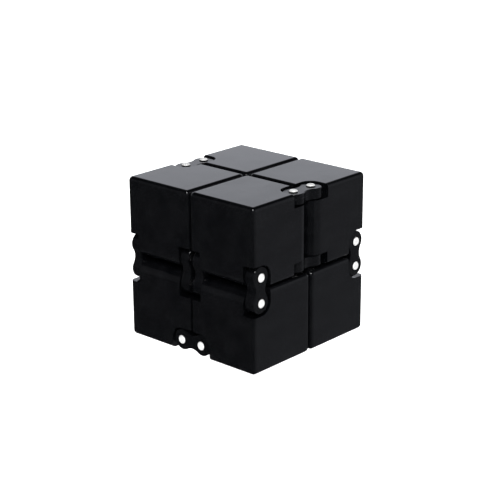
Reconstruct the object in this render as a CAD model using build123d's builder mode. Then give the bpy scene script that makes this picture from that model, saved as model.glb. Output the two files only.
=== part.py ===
from build123d import *
import os

# Folding fidget cube: eight hollow blocks joined in a closed ring by eight two-pin hinges.
# Frame: origin on the floor under the middle of the folded cube, +Z up, front is -Y, right is +X.

# Driving dimensions, in millimetres
cube_size = 40.0              # outside of the folded cube
block_gap = 0.5               # between neighbouring blocks
edge_radius = 1.0             # rounding of the ordinary block edges
hinge_edge_radius = 3.4       # rounding of the two block edges that roll past their neighbours

pin_inset = 2.85              # pin axis from each of the two block faces beside it
pin_diameter = 2.2
pin_end_chamfer = 0.25
bore_clearance = 0.05         # radial, pin in block bore
press_clearance = 0.01        # radial, pin in link hole

pocket_radius = 2.95          # rounded inside corner of the pocket, centred on the pin
pocket_depth = 3.2
link_radius = 2.6             # round lobe of a link
link_neck = 3.4               # width of a link halfway between its pins
link_thickness = 2.6
link_recess = 0.4             # outer face of a link below the block face
link_edge_radius = 0.25
half_link_gap = 0.4           # slit in the middle of the two bottom rear links
relief_clearance = 0.07       # around a corner that swings through a relief groove

wall = 2.0                    # block walls
hinge_post = 7.25             # side of the solid square post around each pin
cover_seat = 0.7              # width of the ledge that the cover sits on
cover_thickness = 1.4
cover_clearance = 0.06
lip_height = 1.3              # rim under the cover that locates it
lip_thickness = 1.0
inner_radius = 1.0            # corners of the hollow and of the cover

# Worked-out dimensions
half_cube = cube_size / 2
half_gap = block_gap / 2
block_size = half_cube - half_gap
half_pitch = pin_inset + half_gap
pocket_reach = pin_inset + pocket_radius
corner_swing = (pin_inset - edge_radius) * 2**0.5 + edge_radius
relief_radius = corner_swing + relief_clearance
middle = Vector(0, 0, half_cube)
x_axis = Vector(1, 0, 0)
y_axis = Vector(0, 1, 0)
z_axis = Vector(0, 0, 1)


def finish(piece, name):
    """Labels a finished piece and writes its STEP file."""
    piece.part.label = name
    export_step(piece.part, f"parts/{name}.step")


def plane_across(corner, along, first, second):
    """Plane across an edge that starts at corner, with +x and +y running into the block."""
    across = Plane(origin=corner, x_dir=first, z_dir=along)
    if across.y_dir.dot(second) < 0:
        across = Plane(origin=corner, x_dir=second, z_dir=along)
    return across


def hollow_outline(face, hand, margin, post, reach):
    """Square inset by margin, ending at reach, less the corner that the hinge post takes up."""
    far = block_size - margin
    outline_points = [
        (post, margin), (reach, margin), (reach, far), (margin, far), (margin, post), (post, post),
    ]
    with BuildSketch(face, mode=Mode.PRIVATE) as outline:
        with BuildLine():
            Polyline([(rise, hand * side) for rise, side in outline_points], close=True)
        make_face()
        fillet(outline.vertices(), inner_radius)
    return outline.sketch


def relief_outline(corner, depth, rise, side):
    """Circle swept by the neighbour's corner about its own pin: it just cuts into the cover face."""
    neighbour_pin = corner + side * (block_size - pin_inset) - depth * (block_gap + pin_inset)
    with BuildSketch(Plane(neighbour_pin, x_dir=side, z_dir=rise), mode=Mode.PRIVATE) as outline:
        Circle(relief_radius)
    return outline.sketch


def make_block(name, corner, depth, rise, side, relieved=False):
    """One hollow block and its cover.

    corner is where the cover face meets the first hinge edge, which runs along depth.
    The second hinge edge runs along side, at the far end of depth and rise.
    """
    face = Plane(origin=corner, x_dir=rise, z_dir=depth)
    hand = 1 if face.y_dir.dot(side) > 0 else -1
    far_corner = corner + (depth + rise) * block_size
    hinge_edges = [
        plane_across(corner, depth, rise, side),
        plane_across(far_corner, side, depth * -1, rise * -1),
    ]
    post_start = block_size - hinge_post
    far_wall = block_size - wall

    with BuildPart() as shell:
        with BuildSketch(face):
            with Locations((block_size / 2, hand * block_size / 2)):
                Rectangle(block_size, block_size)
        extrude(amount=block_size)

        # the two hinge edges roll past the neighbouring block, the others are only softened
        for across in hinge_edges:
            edge_middle = across.origin + across.z_dir * block_size / 2
            fillet(shell.edges().sort_by_distance(edge_middle)[0], hinge_edge_radius)
        seams = shell.faces().filter_by(GeomType.CYLINDER).edges().filter_by(GeomType.LINE)
        fillet(shell.edges() - seams, edge_radius)

        # the hollow leaves a solid post around each pin
        room = hollow_outline(face, hand, wall, hinge_post, far_wall)
        extrude(room, amount=post_start, mode=Mode.SUBTRACT)
        deep_face = face.offset(post_start)
        deep_room = hollow_outline(deep_face, hand, wall, hinge_post, post_start)
        extrude(deep_room, amount=far_wall - post_start, mode=Mode.SUBTRACT)

        # ledge for the cover
        seat_margin = wall - cover_seat
        seat_post = hinge_post - cover_seat
        seat = hollow_outline(face, hand, seat_margin, seat_post, block_size - seat_margin)
        extrude(seat, amount=cover_thickness, mode=Mode.SUBTRACT)

        # pin bore, and a pocket for a link at both ends of each hinge edge
        for across in hinge_edges:
            with BuildSketch(across):
                with Locations((pin_inset, pin_inset)):
                    Circle(pin_diameter / 2 + bore_clearance)
            extrude(amount=block_size, mode=Mode.SUBTRACT)
            for end in (across, across.offset(block_size - pocket_depth)):
                with BuildSketch(end) as pocket:
                    with Locations((pocket_reach / 2, pocket_reach / 2)):
                        Rectangle(pocket_reach, pocket_reach)
                    inside_corner = pocket.vertices().sort_by_distance((0, 0, 0))
                    fillet(inside_corner[-1], pocket_radius)
                extrude(amount=pocket_depth, mode=Mode.SUBTRACT)
        if relieved:
            relief = relief_outline(corner, depth, rise, side)
            extrude(relief, amount=block_size, mode=Mode.SUBTRACT)
    finish(shell, f"{name}_shell")

    with BuildPart() as cover:
        plate_margin = seat_margin + cover_clearance
        plate_post = seat_post + cover_clearance
        plate = hollow_outline(face, hand, plate_margin, plate_post, block_size - plate_margin)
        extrude(plate, amount=cover_thickness)
        under = face.offset(cover_thickness)
        rim_margin = wall + cover_clearance
        rim_post = hinge_post + cover_clearance
        rim = hollow_outline(under, hand, rim_margin, rim_post, block_size - rim_margin)
        extrude(rim, amount=lip_height)
        rim_inside = rim_margin + lip_thickness
        rim_hole = hollow_outline(
            under, hand, rim_inside, rim_post + lip_thickness, block_size - rim_inside
        )
        extrude(rim_hole, amount=lip_height, mode=Mode.SUBTRACT)
        if relieved:
            relief = relief_outline(corner, depth, rise, side)
            extrude(relief, amount=block_size, mode=Mode.SUBTRACT)
    finish(cover, f"{name}_cover")


def make_link(name, centre, across, along, half=None):
    """A link with a round lobe on each pin, or only the half of it on one side of the slit."""
    # the neck is drawn in by two arcs tangent to both lobes
    neck_arc_radius = (
        (half_pitch**2 + (link_neck / 2) ** 2 - link_radius**2) / (2 * link_radius - link_neck)
    )
    neck_arc_height = link_neck / 2 + neck_arc_radius
    tangent_share = neck_arc_radius / (neck_arc_radius + link_radius)
    tangent_x = half_pitch * tangent_share
    tangent_y = neck_arc_height * (1 - tangent_share)
    flat = Plane(origin=centre, x_dir=across, z_dir=along)

    with BuildPart() as link:
        with BuildSketch(flat.offset(-link_thickness / 2)):
            with Locations((-half_pitch, 0), (half_pitch, 0)):
                Circle(link_radius)
            Rectangle(2 * tangent_x, 2 * tangent_y)
            with Locations((0, -neck_arc_height), (0, neck_arc_height)):
                Circle(neck_arc_radius, mode=Mode.SUBTRACT)
        extrude(amount=link_thickness)
        rims = link.faces().filter_by(Axis(centre, along)).edges()
        fillet(rims, link_edge_radius)
        with BuildSketch(flat.offset(-link_thickness / 2)):
            with Locations((-half_pitch, 0), (half_pitch, 0)):
                Circle(pin_diameter / 2 + press_clearance)
        extrude(amount=link_thickness, mode=Mode.SUBTRACT)
        if half is not None:
            slit_side = Plane(origin=centre + half * half_link_gap / 2, z_dir=half)
            split(bisect_by=slit_side, keep=Keep.TOP)
    finish(link, name)


def make_pin(name, start, along):
    """A straight pin as long as a block, with chamfered ends."""
    with BuildPart() as pin:
        with BuildSketch(Plane(origin=start, z_dir=along)):
            Circle(pin_diameter / 2)
        extrude(amount=block_size)
        chamfer(pin.edges().filter_by(GeomType.CIRCLE), pin_end_chamfer)
    finish(pin, name)


def make_hinge(name, outward, along, across, sides, slit=False):
    """Two links and two pins. The hinge line lies under the cube's face whose normal is outward."""
    inner_end = middle + outward * (half_cube - pin_inset) + along * half_gap
    link_middle = link_recess + link_thickness / 2
    for place, distance in (("inner", link_middle), ("outer", block_size - link_middle)):
        centre = inner_end + along * distance
        if slit:
            for half, side in ((across * -1, sides[0]), (across, sides[1])):
                make_link(f"{name}_{place}_link_{side}_half", centre, across, along, half)
        else:
            make_link(f"{name}_{place}_link", centre, across, along)
    for offset, side in ((-half_pitch, sides[0]), (half_pitch, sides[1])):
        make_pin(f"{name}_{side}_pin", inner_end + across * offset, along)


os.makedirs("parts", exist_ok=True)

for x_sign, side_name in ((-1, "left"), (1, "right")):
    for y_sign, row_name in ((-1, "front"), (1, "rear")):
        # top blocks: hinged along X at mid height and along Z at the side, cover towards x = 0
        make_block(
            f"top_{row_name}_{side_name}",
            middle + Vector(x_sign * half_gap, y_sign * half_cube, half_gap),
            x_axis * x_sign,
            y_axis * -y_sign,
            z_axis,
        )
        # bottom blocks: hinged along Y underneath and along X at mid height, cover towards y = 0,
        # and relieved because the front and rear ones pass each other with no hinge between them
        make_block(
            f"bottom_{row_name}_{side_name}",
            Vector(x_sign * half_gap, y_sign * half_gap, 0),
            y_axis * y_sign,
            z_axis,
            x_axis * x_sign,
            relieved=True,
        )

for x_sign, side_name in ((-1, "left"), (1, "right")):
    make_hinge(f"{side_name}_side", x_axis * x_sign, z_axis, y_axis, ("front", "rear"))
    for y_sign, row_name in ((-1, "front"), (1, "rear")):
        make_hinge(
            f"{row_name}_{side_name}", y_axis * y_sign, x_axis * x_sign, z_axis, ("bottom", "top")
        )

# The ring is opened at the bottom rear hinge: its two links are slit in the middle.
make_hinge("bottom_front", z_axis * -1, y_axis * -1, x_axis, ("left", "right"))
make_hinge("bottom_rear", z_axis * -1, y_axis, x_axis, ("left", "right"), slit=True)
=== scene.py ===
import math
import random

import bpy
from mathutils import Matrix, Vector


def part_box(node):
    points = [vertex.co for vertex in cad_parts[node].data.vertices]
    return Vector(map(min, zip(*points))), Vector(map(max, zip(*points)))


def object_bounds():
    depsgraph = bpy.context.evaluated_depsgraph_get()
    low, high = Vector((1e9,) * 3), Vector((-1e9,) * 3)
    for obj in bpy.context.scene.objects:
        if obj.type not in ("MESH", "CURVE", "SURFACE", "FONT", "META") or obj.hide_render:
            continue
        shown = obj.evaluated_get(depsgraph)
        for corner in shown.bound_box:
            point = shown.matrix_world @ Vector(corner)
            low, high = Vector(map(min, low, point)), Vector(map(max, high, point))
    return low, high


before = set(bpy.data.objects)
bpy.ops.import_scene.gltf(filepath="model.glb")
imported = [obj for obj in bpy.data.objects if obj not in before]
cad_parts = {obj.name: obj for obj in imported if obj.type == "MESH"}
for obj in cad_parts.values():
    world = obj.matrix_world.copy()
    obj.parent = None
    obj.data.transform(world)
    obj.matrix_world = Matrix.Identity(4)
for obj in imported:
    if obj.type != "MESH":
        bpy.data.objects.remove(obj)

# Folding fidget cube: eight glossy black blocks on two-pin hinges. Metres, +Z up, front is -Y.

cad_low, cad_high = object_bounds()
cube_middle = (Vector(cad_low) + Vector(cad_high)) / 2
scene = bpy.context.scene
MM = 0.001


def direction(azimuth, elevation):
    """Unit vector, with azimuth 0 at the front and 90 at the right, in degrees."""
    a, e = math.radians(azimuth), math.radians(elevation)
    return Vector((math.sin(a) * math.cos(e), -math.cos(a) * math.cos(e), math.sin(e)))


# ---------------------------------------------------------------- camera

CAMERA_AZIMUTH = 42.13
CAMERA_ELEVATION = 18.85
CAMERA_ROLL = -0.30
CAMERA_DISTANCE = 0.353
CAMERA_LENS = 105.13
CAMERA_SENSOR = 36
CAMERA_NEAREST = 0.01
CAMERA_FURTHEST = 50
AIM_RIGHT = 0.66 * MM
AIM_UP = 0.83 * MM


def make_camera():
    back = direction(CAMERA_AZIMUTH, CAMERA_ELEVATION)
    azimuth, roll = math.radians(CAMERA_AZIMUTH), math.radians(CAMERA_ROLL)
    level = Vector((math.cos(azimuth), math.sin(azimuth), 0))
    upright = back.cross(level)
    right = level * math.cos(roll) + upright * math.sin(roll)
    up = upright * math.cos(roll) - level * math.sin(roll)
    data = bpy.data.cameras.new("camera")
    data.sensor_width = CAMERA_SENSOR
    data.lens = CAMERA_LENS
    data.clip_start = CAMERA_NEAREST
    data.clip_end = CAMERA_FURTHEST
    camera = bpy.data.objects.new("camera", data)
    scene.collection.objects.link(camera)
    place = Matrix((right, up, back)).transposed().to_4x4()
    place.translation = cube_middle + back * CAMERA_DISTANCE + right * AIM_RIGHT + up * AIM_UP
    camera.matrix_world = place
    scene.camera = camera


make_camera()


# ---------------------------------------------------------------- node helpers

# The Mix node has a set of sockets for each kind of value: first input, second input, output.
MIX_SOCKETS = {"FLOAT": (2, 3, 0), "VECTOR": (4, 5, 1), "RGBA": (6, 7, 2)}


class Nodes:
    """Adds nodes to a material, and links them by socket name or number."""

    def __init__(self, name):
        self.material = bpy.data.materials.new(name)
        self.material.use_nodes = True
        self.tree = self.material.node_tree
        self.surface = self.tree.nodes["Principled BSDF"]

    def add(self, kind, inputs=None, **settings):
        node = self.tree.nodes.new(kind)
        for key, value in settings.items():
            setattr(node, key, value)
        for key, value in (inputs or {}).items():
            self.feed(value, node, key)
        return node

    def feed(self, value, node, key):
        """Links a socket to an input, or sets the input to a constant."""
        if isinstance(value, bpy.types.NodeSocket):
            self.tree.links.new(value, node.inputs[key])
        else:
            node.inputs[key].default_value = value

    def math(self, operation, a, b=0.0):
        node = self.add("ShaderNodeMath", {0: a, 1: b}, operation=operation)
        return node.outputs[0]

    def vector_math(self, operation, a, b):
        node = self.add("ShaderNodeVectorMath", {0: a, 1: b}, operation=operation)
        return node.outputs[0]

    def noise(self, place, scale, detail=2.0, roughness=0.5):
        node = self.add("ShaderNodeTexNoise", {
            "Vector": place, "Scale": scale, "Detail": detail, "Roughness": roughness,
        })
        return node.outputs["Fac"]

    def remap(self, value, low, high, to_low, to_high, smooth=False):
        kind = "SMOOTHSTEP" if smooth else "LINEAR"
        node = self.add("ShaderNodeMapRange", {
            "Value": value, "From Min": low, "From Max": high, "To Min": to_low, "To Max": to_high,
        }, interpolation_type=kind)
        return node.outputs["Result"]

    def stretch(self, place, turn, scale):
        node = self.add("ShaderNodeMapping", {"Vector": place, "Rotation": turn, "Scale": scale})
        return node.outputs["Vector"]

    def blend(self, share, first, second, kind="RGBA"):
        """Mixes two colours, vectors or numbers: all first at 0, all second at 1."""
        first_input, second_input, output = MIX_SOCKETS[kind]
        node = self.add("ShaderNodeMix", {"Factor": share}, data_type=kind)
        self.feed(first, node, first_input)
        self.feed(second, node, second_input)
        return node.outputs[output]

    def bump(self, height, distance, strength, before=None):
        node = self.add("ShaderNodeBump", {
            "Height": height, "Distance": distance, "Strength": strength,
        })
        if before:
            self.feed(before, node, "Normal")
        return node.outputs["Normal"]


def shifted_place(nodes, shift):
    """Object coordinates, moved so that no two pieces carry the same marks."""
    where = nodes.add("ShaderNodeTexCoord").outputs["Object"]
    return nodes.vector_math("ADD", where, shift)


# ---------------------------------------------------------------- plastic

BLACK = (0.0004, 0.0005, 0.0008, 1)
BLACK_WORN = (0.0046, 0.0048, 0.0054, 1)

# how fine each kind of mark is, in noise cells per metre
HAZE_FINENESS = 95
SMEAR_FINENESS = 260
HAIRLINE_FINENESS = 2600
HAIRLINE_PATCH_FINENESS = 170
DUST_FINENESS = 5200
RIPPLE_FINENESS = 330

SMEAR_TURN = (0.4, 0.7, 0.2)
SMEAR_STRETCH = (1, 0.3, 1)
HAIRLINE_STRETCH = (1, 0.045, 1)
# the two directions that hairlines run in, and how much of the surface stays clear of each
HAIRLINES = (((0.3, 0.2, 0.9), 0.52), ((1.1, 0.5, -0.4), 0.56))

RIPPLE_HEIGHT = 0.02 * MM
HAIRLINE_HEIGHT = 0.004 * MM

# roughness of the clean surface, moulding ripple, strength of the marks, index of refraction
SHELL = {"roughness": 0.13, "ripple": 1.0, "marks": 0.6, "ior": 1.50}
COVER = {"roughness": 0.24, "ripple": 1.4, "marks": 0.5, "ior": 1.50}
LINK = {"roughness": 0.17, "ripple": 0.8, "marks": 0.9, "ior": 1.38}


def hairlines(nodes, place, turn, clear):
    """Thin scratches along one direction, in patches, as 0 to 1."""
    along = nodes.stretch(place, turn, HAIRLINE_STRETCH)
    lines = nodes.noise(along, HAIRLINE_FINENESS, 1.0, 0.4)
    patches = nodes.noise(place, HAIRLINE_PATCH_FINENESS, 2.0)
    thin = nodes.remap(lines, 0.70, 0.76, 0, 1)
    where = nodes.remap(patches, clear, clear + 0.12, 0, 1, smooth=True)
    return nodes.math("MULTIPLY", thin, where)


def gloss_plastic(name, shift, roughness, ripple, marks, ior):
    """Black moulded plastic: faint ripple, handling haze, hairlines and a little dust."""
    nodes = Nodes(name)
    surface = nodes.surface
    place = shifted_place(nodes, shift)

    haze = nodes.noise(place, HAZE_FINENESS, 3.0, 0.55)
    smear_place = nodes.stretch(place, SMEAR_TURN, SMEAR_STRETCH)
    smear = nodes.noise(smear_place, SMEAR_FINENESS, 4.0, 0.6)
    lines = nodes.math("MAXIMUM", *(hairlines(nodes, place, *line) for line in HAIRLINES))
    dust = nodes.remap(nodes.noise(place, DUST_FINENESS, 1.0), 0.79, 0.83, 0, 1)

    rough = nodes.remap(haze, 0.35, 0.7, roughness * 0.75, roughness * 1.3, smooth=True)
    rough = nodes.math("ADD", rough, nodes.remap(smear, 0.5, 0.8, 0, 0.06))
    rough = nodes.math("ADD", rough, nodes.math("MULTIPLY", lines, 0.10 * marks))
    rough = nodes.math("ADD", rough, nodes.math("MULTIPLY", dust, 0.18))
    nodes.feed(rough, surface, "Roughness")

    worn = nodes.math("MULTIPLY", nodes.math("MAXIMUM", lines, dust), marks)
    shade = nodes.blend(nodes.remap(smear, 0.3, 0.8, 0, 0.5), BLACK, BLACK_WORN)
    nodes.feed(nodes.blend(worn, shade, BLACK_WORN), surface, "Base Color")

    wave = nodes.noise(place, RIPPLE_FINENESS, 1.0)
    normal = nodes.bump(wave, RIPPLE_HEIGHT * ripple, 0.35)
    normal = nodes.bump(lines, HAIRLINE_HEIGHT, 0.3 * marks, normal)
    nodes.feed(normal, surface, "Normal")
    surface.inputs["IOR"].default_value = ior
    return nodes.material


# ---------------------------------------------------------------- steel

STEEL = (0.80, 0.80, 0.79, 1)
STEEL_DULL = (0.60, 0.59, 0.57, 1)
# near-black painted shade for the pin's shank and rim
SHANK_PAINTED_SHADE = (0.06, 0.06, 0.065, 1)

STAIN_FINENESS = 900
PIT_FINENESS = 6500
RING_PITCH = 0.11 * MM
RING_HEIGHT = 0.004 * MM
PIT_DEPTH = 0.006 * MM

SHANK_ROUGHNESS = 0.36
END_ROUGHNESS = (0.48, 0.60)
SHANK_METALLIC = 1.0
END_METALLIC = 0.35
# how far inside the pin's side the bright end stops and the painted shade of the rim begins, and where the
# end is whole
END_RIM = 0.04 * MM
END_WHOLE = 0.08 * MM


def pin_steel(name, low, high, shift):
    """Turned steel: rings on the ends about the pin's own axis, with a stain and small pits, and painted
    shade on the shank and rim.

    low and high are the corners of the pin's box.
    """
    size = [high[i] - low[i] for i in range(3)]
    centre = tuple((low[i] + high[i]) / 2 for i in range(3))
    across_axis = tuple(0.0 if side == max(size) else 1.0 for side in size)
    pin_radius = min(size) / 2

    nodes = Nodes(name)
    surface = nodes.surface
    where = nodes.add("ShaderNodeTexCoord").outputs["Object"]
    from_axis = nodes.vector_math(
        "MULTIPLY", nodes.vector_math("SUBTRACT", where, centre), across_axis
    )
    length = nodes.add("ShaderNodeVectorMath", {0: from_axis}, operation="LENGTH")
    radius = length.outputs["Value"]
    rings = nodes.math("SINE", nodes.math("MULTIPLY", radius, 2 * math.pi / RING_PITCH))
    place = shifted_place(nodes, shift)
    stain = nodes.noise(place, STAIN_FINENESS, 3.0, 0.6)
    pits = nodes.remap(nodes.noise(place, PIT_FINENESS, 1.0), 0.74, 0.8, 0, 1)

    # the ends are bright and satin; the shank and the rims are coloured near-black as painted shade, for
    # the dark ring round each end
    end = nodes.remap(radius, pin_radius - END_WHOLE, pin_radius - END_RIM, 1, 0)
    satin = nodes.remap(stain, 0.35, 0.75, *END_ROUGHNESS)
    nodes.feed(nodes.blend(end, SHANK_ROUGHNESS, satin, "FLOAT"), surface, "Roughness")
    tint = nodes.blend(nodes.remap(stain, 0.45, 0.8, 0, 0.55), STEEL, STEEL_DULL)
    tint = nodes.blend(nodes.math("MULTIPLY", pits, 0.5), tint, STEEL_DULL)
    nodes.feed(nodes.blend(end, SHANK_PAINTED_SHADE, tint), surface, "Base Color")
    nodes.feed(nodes.remap(end, 0, 1, SHANK_METALLIC, END_METALLIC), surface, "Metallic")

    # the ends are flat right up to the rim, so they take no smoothing from it
    shape = nodes.add("ShaderNodeNewGeometry").outputs
    normal = nodes.blend(end, shape["Normal"], shape["True Normal"], "VECTOR")
    normal = nodes.bump(rings, RING_HEIGHT, 0.4, normal)
    normal = nodes.bump(pits, PIT_DEPTH, -0.4, normal)
    nodes.feed(normal, surface, "Normal")
    return nodes.material


# ---------------------------------------------------------------- pieces

marks_order = random.Random(8)


def next_shift():
    return tuple(marks_order.uniform(-0.4, 0.4) for _ in range(3))


def dress(node_name, material):
    """Gives a carried-over CAD node its finished material."""
    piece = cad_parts[node_name]
    piece.data.materials.clear()
    piece.data.materials.append(material)


for node_name in sorted(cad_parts):
    if node_name.endswith("_pin"):
        dress(node_name, pin_steel(f"{node_name}_steel", *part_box(node_name), next_shift()))
    elif node_name.endswith("_cover"):
        dress(node_name, gloss_plastic(f"{node_name}_plastic", next_shift(), **COVER))
    elif "_link" in node_name:
        dress(node_name, gloss_plastic(f"{node_name}_plastic", next_shift(), **LINK))
    else:
        dress(node_name, gloss_plastic(f"{node_name}_plastic", next_shift(), **SHELL))


# ---------------------------------------------------------------- floor

# The opened toy hangs a block and a half lower than the folded one, so the floor is below that.
FLOOR_DROP = 0.046
FLOOR_RADIUS = 4
FLOOR_PAPER = (0.86, 0.86, 0.86, 1)
FLOOR_GLOW = 0.9


def make_floor():
    bpy.ops.mesh.primitive_circle_add(vertices=96, radius=FLOOR_RADIUS, fill_type="NGON")
    floor = bpy.context.object
    floor.name = "studio_floor"
    floor.location = (0, 0, cad_low[2] - FLOOR_DROP)
    nodes = Nodes("studio_floor_paper")
    nodes.feed(FLOOR_PAPER, nodes.surface, "Base Color")
    nodes.feed(0.9, nodes.surface, "Roughness")
    nodes.feed((1, 1, 1, 1), nodes.surface, "Emission Color")
    nodes.feed(FLOOR_GLOW, nodes.surface, "Emission Strength")
    floor.data.materials.append(nodes.material)
    floor.visible_glossy = False


# ---------------------------------------------------------------- light

BACKDROP = 0.98
TABLE = 0.19
CARD = 0.30
ROOM_ABOVE = 0.015
ROOM_BELOW = 0.057
WHITE_ROUND = 1.05
SKY_TINT = (0.94, 0.965, 1.05, 1)

# What the gloss mirrors besides the backdrop: azimuth and elevation of the middle, the cosines of
# the angles from there at which it starts and is whole, and its level.
REFLECTORS = (
    (146, -18, 0.66, 0.97, TABLE),         # right of the table
    (98, -18, 0.78, 0.97, TABLE * 0.9),    # side of the table
    (235, -15, 0.75, 0.97, TABLE * 0.5),   # left of the table
    (45, 18, 0.78, 0.96, CARD),            # card by the camera
    (128, 12, 0.82, 0.96, CARD),           # card on the right
    (-45, 12, 0.90, 0.98, CARD * 0.4),     # card on the left
)


def make_world():
    """A white backdrop on one side of a dark room. The camera sees white all round."""
    world = bpy.data.worlds.new("studio_world")
    scene.world = world
    world.use_nodes = True
    tree = world.node_tree

    def add(kind, **settings):
        node = tree.nodes.new(kind)
        for key, value in settings.items():
            setattr(node, key, value)
        return node

    def ramp(value, low, high, to_low, to_high):
        node = add("ShaderNodeMapRange", interpolation_type="SMOOTHSTEP")
        for key, number in zip(("From Min", "From Max", "To Min", "To Max"), (low, high, to_low, to_high)):
            node.inputs[key].default_value = number
        tree.links.new(value, node.inputs["Value"])
        return node.outputs["Result"]

    def combine(operation, *values):
        total = values[0]
        for value in values[1:]:
            node = add("ShaderNodeMath", operation=operation)
            for socket, part in zip(node.inputs, (total, value)):
                if isinstance(part, bpy.types.NodeSocket):
                    tree.links.new(part, socket)
                else:
                    socket.default_value = part
            total = node.outputs[0]
        return total

    ray = add("ShaderNodeTexCoord").outputs["Generated"]
    split = add("ShaderNodeSeparateXYZ")
    tree.links.new(ray, split.inputs[0])
    height = split.outputs["Z"]

    def towards(azimuth, elevation):
        """Cosine of the angle between the ray and a direction."""
        node = add("ShaderNodeVectorMath", operation="DOT_PRODUCT")
        node.inputs[1].default_value = direction(azimuth, elevation)
        tree.links.new(ray, node.inputs[0])
        return node.outputs["Value"]

    # the backdrop fades out to the sides, downwards and overhead
    backdrop = combine(
        "MULTIPLY", ramp(towards(220, 0), 0.15, 0.65, 0, 1), ramp(height, -0.20, 0.16, 0, 1),
        ramp(height, 0.26, 0.66, 1, 0), BACKDROP,
    )
    reflectors = [
        ramp(towards(azimuth, elevation), start, whole, 0, level)
        for azimuth, elevation, start, whole, level in REFLECTORS
    ]
    room = ramp(height, -0.15, 0.20, ROOM_BELOW, ROOM_ABOVE)
    level = combine("MAXIMUM", backdrop, *reflectors, room)

    path = add("ShaderNodeLightPath")
    choose = add("ShaderNodeMix")
    choose.inputs["B"].default_value = WHITE_ROUND
    tree.links.new(path.outputs["Is Camera Ray"], choose.inputs["Factor"])
    tree.links.new(level, choose.inputs["A"])
    background = tree.nodes["Background"]
    background.inputs["Color"].default_value = SKY_TINT
    tree.links.new(choose.outputs["Result"], background.inputs["Strength"])


SOFTBOX_DISTANCE = 0.9


def softbox(name, azimuth, elevation, size, power, mirrored):
    """A square lamp that faces the cube. One that isn't mirrored doesn't show in the gloss."""
    data = bpy.data.lights.new(name, "AREA")
    data.shape = "SQUARE"
    data.size = size
    data.energy = power
    lamp = bpy.data.objects.new(name, data)
    scene.collection.objects.link(lamp)
    back = direction(azimuth, elevation)
    lamp.location = cube_middle + back * SOFTBOX_DISTANCE
    lamp.rotation_mode = "QUATERNION"
    lamp.rotation_quaternion = (-back).to_track_quat("-Z", "Y")
    lamp.visible_glossy = mirrored


make_floor()
make_world()
softbox("key_softbox", azimuth=42, elevation=30, size=0.3, power=8, mirrored=False)
softbox("edge_softbox", azimuth=42, elevation=52, size=0.16, power=5, mirrored=True)
softbox("back_fill", azimuth=222, elevation=8, size=0.5, power=8, mirrored=False)

scene.view_settings.view_transform = "Standard"
